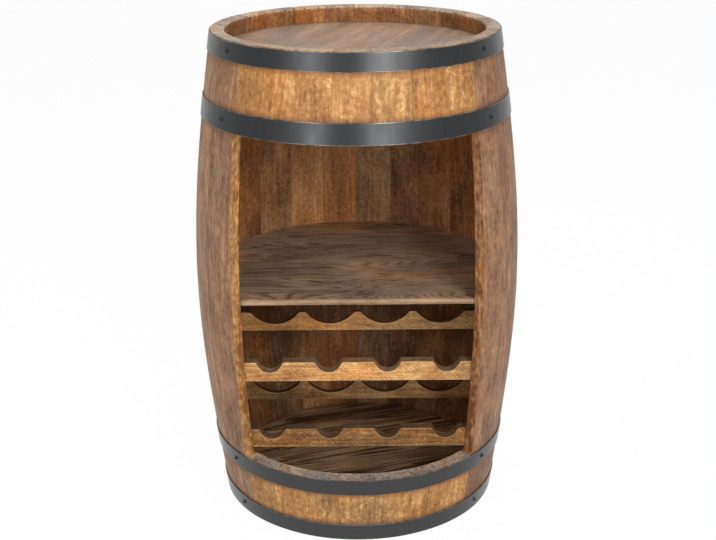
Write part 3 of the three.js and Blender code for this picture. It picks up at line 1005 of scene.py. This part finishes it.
oakShelf = oak("oakShelf", {
    **boardGrain,
    "turn": 0.0,
    "figureStretch": 0.12,
    "figureScale": 15.0,
    "figureWarp": 0.15,
    "figureLines": 26.0,
    "lineStart": 0.4,
    "figure": 0.36,
    "fray": 0.3,
    "knots": ({"along": 0.085, "across": -0.16, "long": 0.05, "wide": 0.03, "lines": 7.0},),
    "streak": 0.4,
    "fibre": 0.3,
    "blotch": 1.2,
    "hueScale": 7.0,
    "hue": 3.0,
    "deep": (88, 66, 50),
    "mid": (166, 132, 102),
    "pale": (207, 174, 138),
    "poreColour": (64, 48, 38),
})
oakShelfEdge = oak("oakShelfEdge", {
    **boardGrain,
    "turn": 0.0,
    "hue": 0.5,
    "deep": (104, 81, 60),
    "mid": (142, 116, 88),
    "pale": (172, 145, 114),
    "poreColour": (104, 76, 54),
})
# Nearly black: painted shade under the shelf
oakCleatShade = oak("oakCleatShade", {
    **boardGrain,
    "turn": 0.0,
    "shine": 0.05,
    "deep": (22, 15, 10),
    "mid": (40, 28, 20),
    "pale": (62, 46, 32),
    "poreColour": (26, 18, 13),
})

topLow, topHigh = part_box("head_top")
topRadius = innerRadius(topHigh.z) - headSet["clearance"]
topHead = boardMesh(
    "topHead", roundBoards(topRadius, headSet["topTurn"], headSet["topSeams"]),
    topLow.z, topHigh.z, (oakTop,) * 3, headSet["rounding"], headSet["topTones"],
)
settle(topHead, "head_top", "head_top")
floorLow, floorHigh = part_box("head_bottom")
floorRadius = innerRadius(floorLow.z) - headSet["clearance"]
floorHead = boardMesh(
    "floorHead", roundBoards(floorRadius, headSet["floorTurn"], headSet["floorSeams"]),
    floorLow.z, floorHigh.z, (oakDark,) * 3, headSet["rounding"], headSet["floorTones"],
)
settle(floorHead, "head_bottom", "head_bottom")

shelfSet = {
    "clearance": 0.0006,
    "corner": 0.006,
    "rounding": 0.0012,
    "arcSteps": 95,
    "cornerSteps": 8,
}
shelfLow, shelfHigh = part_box("shelf")
shelfRadius = min(innerRadius(shelfLow.z), innerRadius(shelfHigh.z)) - shelfSet["clearance"]
frontY = shelfLow.y
cornerY = frontY + shelfSet["corner"] - axisY
cornerX = math.sqrt((shelfRadius - shelfSet["corner"]) ** 2 - cornerY**2)
cornerTurn = math.atan2(cornerY, cornerX)
arcSteps, cornerSteps = shelfSet["arcSteps"], shelfSet["cornerSteps"]
arc = [cornerTurn + (math.pi - 2 * cornerTurn) * i / arcSteps for i in range(arcSteps + 1)]
shelfLoop = [(math.cos(a) * shelfRadius, math.sin(a) * shelfRadius + axisY) for a in arc]
for i in range(1, cornerSteps + 1):
    a = math.pi - cornerTurn + (math.pi / 2 + cornerTurn) * i / cornerSteps
    spot = (-cornerX + math.cos(a) * shelfSet["corner"], cornerY + axisY + math.sin(a) * shelfSet["corner"])
    shelfLoop.append(spot)
shelfLoop += [(-x, y) for x, y in reversed(shelfLoop[len(arc):])]
shelfOak = (oakShelf, oakShelfEdge, oakShelf)
shelf = boardMesh("shelfBoard", [shelfLoop], shelfLow.z, shelfHigh.z, shelfOak, shelfSet["rounding"])
settle(shelf, "shelf", "shelf")

cleatSet = {
    "azimuths": {"right": math.radians(66), "left": math.radians(-66), "back": math.pi},
    "depth": 0.035,
    "length": 0.12,
    "clearance": 0.0012,
    "rounding": 0.001,
    "arcPoints": 18,
}
cleatFoot, cleatTop = (corner.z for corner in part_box("shelf_cleat_back"))
cleatWall = innerRadius(cleatFoot) - cleatSet["clearance"]
for side, azimuth in cleatSet["azimuths"].items():
    inner = innerRadius(cleatTop) - cleatSet["depth"]
    half = cleatSet["length"] / 2
    swing = math.asin(half / cleatWall)
    out = Vector((math.sin(azimuth), -math.cos(azimuth)))
    along = Vector((math.cos(azimuth), math.sin(azimuth)))
    loop = [tuple(out * inner + along * s * half + Vector((0, axisY))) for s in (1, -1)]
    loop += arcPoints(cleatWall, azimuth - swing, azimuth + swing, cleatSet["arcPoints"])
    cleat = boardMesh(
        f"shelfCleat{side.capitalize()}", [loop], cleatFoot, cleatTop, (oakCleatShade,) * 3, cleatSet["rounding"]
    )
    settle(cleat, "cleat", f"shelf_cleat_{side}")
print("boards made")

# Bottle rails
railSet = {
    "Pitch": 0.0955,
    "Gap": 0.0006,
    "Corner": 0.002,
    "pastWall": 0.002,
    "columns": 481,
    "seedStep": 1.9,
    "seedShift": 0.31,
    "edge": {"width": 0.0012, "segments": 2, "angle": 62},
    "neck": {"Depth": 0.0175, "Radius": 0.0205, "Mouth": 0.02225, "Keep": 0.168},
    "belly": {"Depth": 0.0215, "Radius": 0.05119, "Mouth": 0.0417, "Keep": 0.186},
}


def makeRailTree():
    numbers = [
        *barrel, "Low", "High", "Face", "Deep", "Pitch", "Depth", "Radius", "Mouth", "Touch", "Slope",
        "Keep", "Reach", "Gap", "Corner", "Tone", "Seed",
    ]
    kinds = dict.fromkeys(("Material", "Top"), "NodeSocketMaterial")
    tree, sizes = shapeTree("railShape", numbers, kinds)
    start = sizes["Low"]
    body = grid(start, railSet["columns"], 3, 4)
    upward = start.node("GeometryNodeInputNormal").parts()[2]
    body = store(body, "side", "FLOAT", upward > 0.5, "FACE")
    u, v, w = start.node("GeometryNodeInputPosition").parts()
    # Four bays, two on each side of the middle
    flatX = u * 2 * sizes["Reach"]
    bay = (flatX + sizes["Pitch"] * 2) / sizes["Pitch"]
    off = abs(bay.through("FRACT") - 0.5) * sizes["Pitch"]
    inside = abs(flatX) < sizes["Pitch"] * 2
    tall = sizes["High"] - sizes["Low"]
    axis = tall - sizes["Depth"] + sizes["Radius"]
    square = sizes["Radius"] * sizes["Radius"]
    arc = axis - (square - (off * off).least(square)).root()
    shoulder = tall - (sizes["Mouth"] - off) * sizes["Slope"]
    onArc = off < sizes["Touch"]
    cut = arc * onArc + shoulder * (1 - onArc) + (1 - inside)
    top = cut.sum("SMOOTH_MIN", cut, tall, sizes["Corner"])
    z = sizes["Low"] + (w + 0.5) * top
    y = sizes["Face"] + (v + 0.5) * sizes["Deep"]
    wall = outerField(z, sizes) - sizes["Thickness"] - sizes["Gap"]
    fromAxis = y - sizes["Axis Y"]
    half = (wall * wall - fromAxis * fromAxis).root()
    stretch = (half - sizes["Keep"]) / (sizes["Reach"] - sizes["Keep"])
    run = abs(flatX).least(sizes["Keep"]) + (abs(flatX) - sizes["Keep"]).most(0.0) * stretch
    x = run * flatX.through("SIGN")
    plank = start.point(z - sizes["Low"] + sizes["Seed"] * railSet["seedShift"], y, x + sizes["Seed"])
    edge = ((0.5 - abs(v)) * sizes["Deep"]).most((0.5 - abs(w)) * top)
    body = storeAll(body, plank, edge=edge, tone=sizes["Tone"])
    body = body.shaped("GeometryNodeSetPosition", Position=start.point(x, y, z))
    endPainted(body, [sizes["Material"], sizes["Top"]])
    return tree


railTree = makeRailTree()
railLook = {
    **grainSet,
    "chatter": 0.17,
    "chatterPitch": 0.008,
    "chatterSlant": 1.0,
    "speckleStretch": 0.8,
    "speckle": 1.1,
    "streak": 0.6,
    # Pale lines along the arrises: worn edges and a painted highlight
    "edge": 0.35,
    "edgeWidth": 0.0024,
}
oakRail = oak("oakRail", {
    **railLook,
    "deep": (126, 82, 44),
    "mid": (168, 123, 75),
    "pale": (212, 168, 108),
    "poreColour": (116, 74, 40),
    "edgeColour": (232, 190, 132),
})
oakRailLow = oak("oakRailLow", {
    **railLook,
    "tone": 0.1,
    "deep": (84, 55, 30),
    "mid": (131, 93, 55),
    "pale": (182, 137, 84),
    "poreColour": (80, 52, 30),
    "edgeColour": (190, 150, 100),
})
# The tops of the rails, notches included, are greyer and darker than their faces: painted shade
oakRailTopShade = oak("oakRailTopShade", {
    **railLook,
    "chatter": 0.0,
    "deep": (88, 68, 51),
    "mid": (130, 104, 79),
    "pale": (164, 135, 105),
    "poreColour": (58, 44, 34),
    "edgeColour": (176, 142, 100),
})
# The rear rails' tops under the shelf are darker still: painted shade
oakScallopShade = oak("oakScallopShade", {
    **railLook,
    "chatter": 0.0,
    "deep": (70, 46, 28),
    "mid": (108, 76, 46),
    "pale": (150, 112, 70),
    "poreColour": (58, 40, 26),
    "edgeColour": (176, 136, 88),
})
railRows = (  # the node, its cut, its tone, and the oak of its faces and of its top
    ("rail_front_upper", "neck", 0.0, oakRail, oakRailTopShade),
    ("rail_front_lower", "neck", -0.42, oakRailLow, oakRailTopShade),
    ("rail_rear_upper", "belly", -0.08, oakRail, oakScallopShade),
    ("rail_rear_lower", "belly", -0.5, oakRailLow, oakScallopShade),
)
for number, (node, cut, tone, faceOak, topOak) in enumerate(railRows):
    low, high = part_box(node)
    sizes = railSet[cut]
    # Where a shoulder runs into the arc without a corner
    above = sizes["Depth"] - sizes["Radius"]
    swing = math.hypot(sizes["Mouth"], above)
    touch = math.atan2(above, sizes["Mouth"]) - math.acos(min(1, sizes["Radius"] / swing))
    values = {**barrel, **railSet, **sizes, "Low": low.z, "High": high.z, "Tone": tone}
    values.update({"Face": low.y, "Deep": high.y - low.y, "Reach": high.x + railSet["pastWall"]})
    values.update({"Touch": sizes["Radius"] * math.cos(touch), "Slope": -1 / math.tan(touch)})
    values.update({"Seed": number * railSet["seedStep"], "Material": faceOak, "Top": topOak})
    label = "".join(word.capitalize() for word in node.split("_")[1:])
    settle(grow(f"rail{label}", railTree, values, bevel=railSet["edge"]), "rail", node)
print("rails made")

# Studio: pale floor, white surroundings, three big soft lamps, and two low ones that shine on the hoops
studioSet = {
    "ambient": 0.28,
    "floor": (0.93, 0.93, 0.93),
    "floorWhite": 0.96,
    "floorReach": 30,
    "lamps": (
        {"name": "keyLamp", "place": (1.55, -3.0, 1.95), "aim": (0, 0, 0.45), "size": 1.5, "power": 79},
        {"name": "fillLamp", "place": (-2.0, -2.75, 1.65), "aim": (0, 0, 0.4), "size": 1.3, "power": 32},
        {"name": "lowRightLamp", "place": (0.95, -3.05, 0.8), "aim": (0, 0, 0.7), "size": 1.0, "power": 25},
        {"name": "lowLeftLamp", "place": (-1.45, -2.8, 0.6), "aim": (0, 0, 0.7), "size": 0.4, "power": 11},
        {"name": "topLamp", "place": (0, 0.6, 3.0), "aim": (0, 0, 0.5), "size": 1.8, "power": 34},
    ),
}


def seenShare(start):
    # One for what is seen directly, in a gloss or through glass, and nothing for other light
    rays = start.node("ShaderNodeLightPath").socket.node.outputs
    kinds = ("Camera", "Glossy", "Transmission")
    camera, glossy, through = (Wire(start.tree, rays[f"Is {kind} Ray"]) for kind in kinds)
    return (camera + glossy + through).least(1.0)


def makeStudio():
    world = bpy.data.worlds.new("studioWhite")
    scene.world = world
    world.use_nodes = True
    world.node_tree.nodes.clear()
    start = Wire(world.node_tree)
    strength = seenShare(start) * (1 - studioSet["ambient"]) + studioSet["ambient"]
    light = start.node("ShaderNodeBackground", {}, {"Color": (1, 1, 1, 1), "Strength": strength})
    start.node("ShaderNodeOutputWorld", {}, {"Surface": light})
    material, start = newMaterial("paleFloor")
    values = {"Color": (*studioSet["floor"], 1)}
    matt = start.node("ShaderNodeBsdfDiffuse", {}, values)
    white = start.node("ShaderNodeEmission", {}, {"Color": (1, 1, 1, 1), "Strength": 1.0})
    share = seenShare(start) * studioSet["floorWhite"]
    both = start.node("ShaderNodeMixShader", {}, {0: share, 1: matt, 2: white})
    start.node("ShaderNodeOutputMaterial", {}, {"Surface": both})
    mesh = bpy.data.meshes.new("studioFloor")
    far = studioSet["floorReach"]
    mesh.from_pydata([(-far, -far, 0), (far, -far, 0), (far, far, 0), (-far, far, 0)], [], [(0, 1, 2, 3)])
    mesh.materials.append(material)
    floor = newObject("studioFloor", mesh)
    for lamp in studioSet["lamps"]:
        light = bpy.data.lights.new(lamp["name"], "AREA")
        light.size = lamp["size"]
        light.energy = lamp["power"]
        lampObject = newObject(lamp["name"], light)
        lampObject.location = lamp["place"]
        aim = Vector(lamp["aim"]) - Vector(lamp["place"])
        lampObject.rotation_euler = aim.to_track_quat("-Z", "Y").to_euler()


makeStudio()
print("studio made")

bpy.context.view_layer.update()
